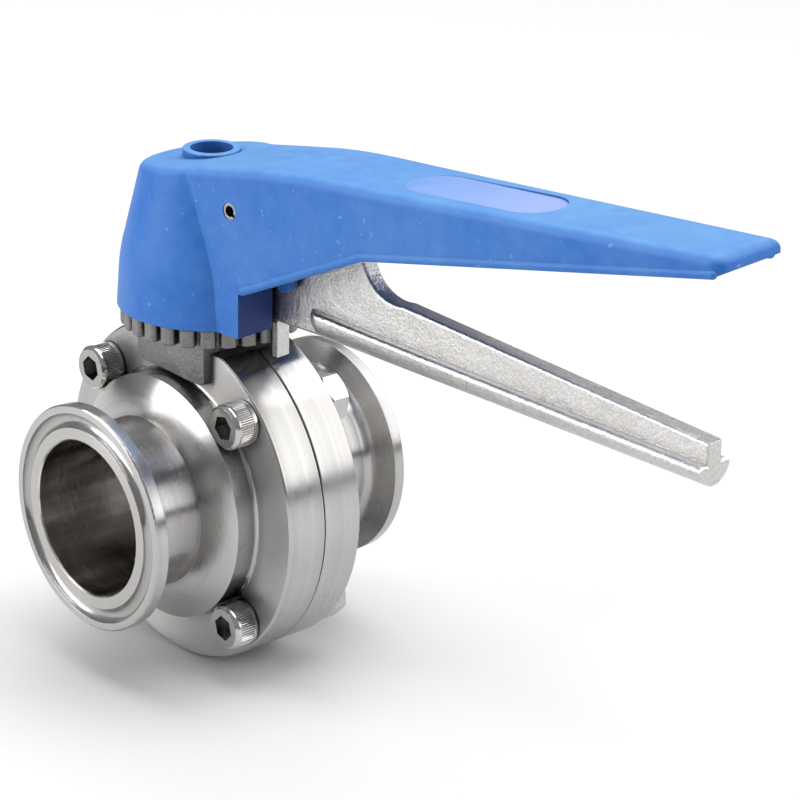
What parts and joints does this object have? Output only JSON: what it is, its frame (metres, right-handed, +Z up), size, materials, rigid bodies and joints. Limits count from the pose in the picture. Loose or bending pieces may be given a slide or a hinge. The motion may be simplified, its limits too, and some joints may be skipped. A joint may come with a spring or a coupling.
{
  "type": "sanitary butterfly valve",
  "caption": "Sanitary butterfly valve with clamp ferrule ends, a moulded pull handle and a squeeze trigger that locks it on a toothed plate.",
  "frame": {"origin": "where the pipe axis crosses the stem axis, in the split plane of the body", "axes": "+Y along the pipe from the inlet to the outlet, +Z up the stem to the handle, +X across the pipe"},
  "size_m": [0.1798, 0.07, 0.1259],
  "materials": {
    "body_steel": "turned and polished stainless steel",
    "cast_steel": "shot-blasted cast stainless steel",
    "fastener_steel": "polished stainless steel",
    "blue_plastic": "fine-grained moulded plastic",
    "seal_rubber": "matte rubber",
    "bushing_plastic": "machined bearing plastic",
    "spring_steel": "drawn spring wire"
  },
  "bodies": {
    "root": {"inlet_body_half": "body_steel", "outlet_body_half": "body_steel", "seat_ring": "seal_rubber", "upper_stem_bushing": "bushing_plastic", "lower_stem_bushing": "bushing_plastic", "upper_stem_seal": "seal_rubber", "lower_stem_seal": "seal_rubber", "index_plate": "cast_steel", "body_screws": "fastener_steel", "body_nuts": "fastener_steel"},
    "handle": {"handle_shell": "blue_plastic", "disc_with_stem": "body_steel", "stem_drive_insert": "body_steel", "handle_screw": "fastener_steel", "handle_screw_washer": "fastener_steel", "trigger_pin": "spring_steel", "trigger_spring": "spring_steel"},
    "trigger": {"trigger_lever": "cast_steel"}
  },
  "joints": [
    {"name": "handle_turn", "type": "hinge", "parent": "root", "child": "handle", "pos_m": [0, 0, 0], "axis": [0, 0, 1], "range_deg": [0, 90]},
    {"name": "trigger_squeeze", "type": "hinge", "parent": "handle", "child": "trigger", "pos_m": [0.01923, 0.00168, 0.0697], "axis": [0.0872, -0.9962, 0], "range_deg": [0, 8], "stiffness_Nm_per_rad": 0.5, "springref_deg": -28.65, "deforming": ["trigger_spring"]}
  ]
}
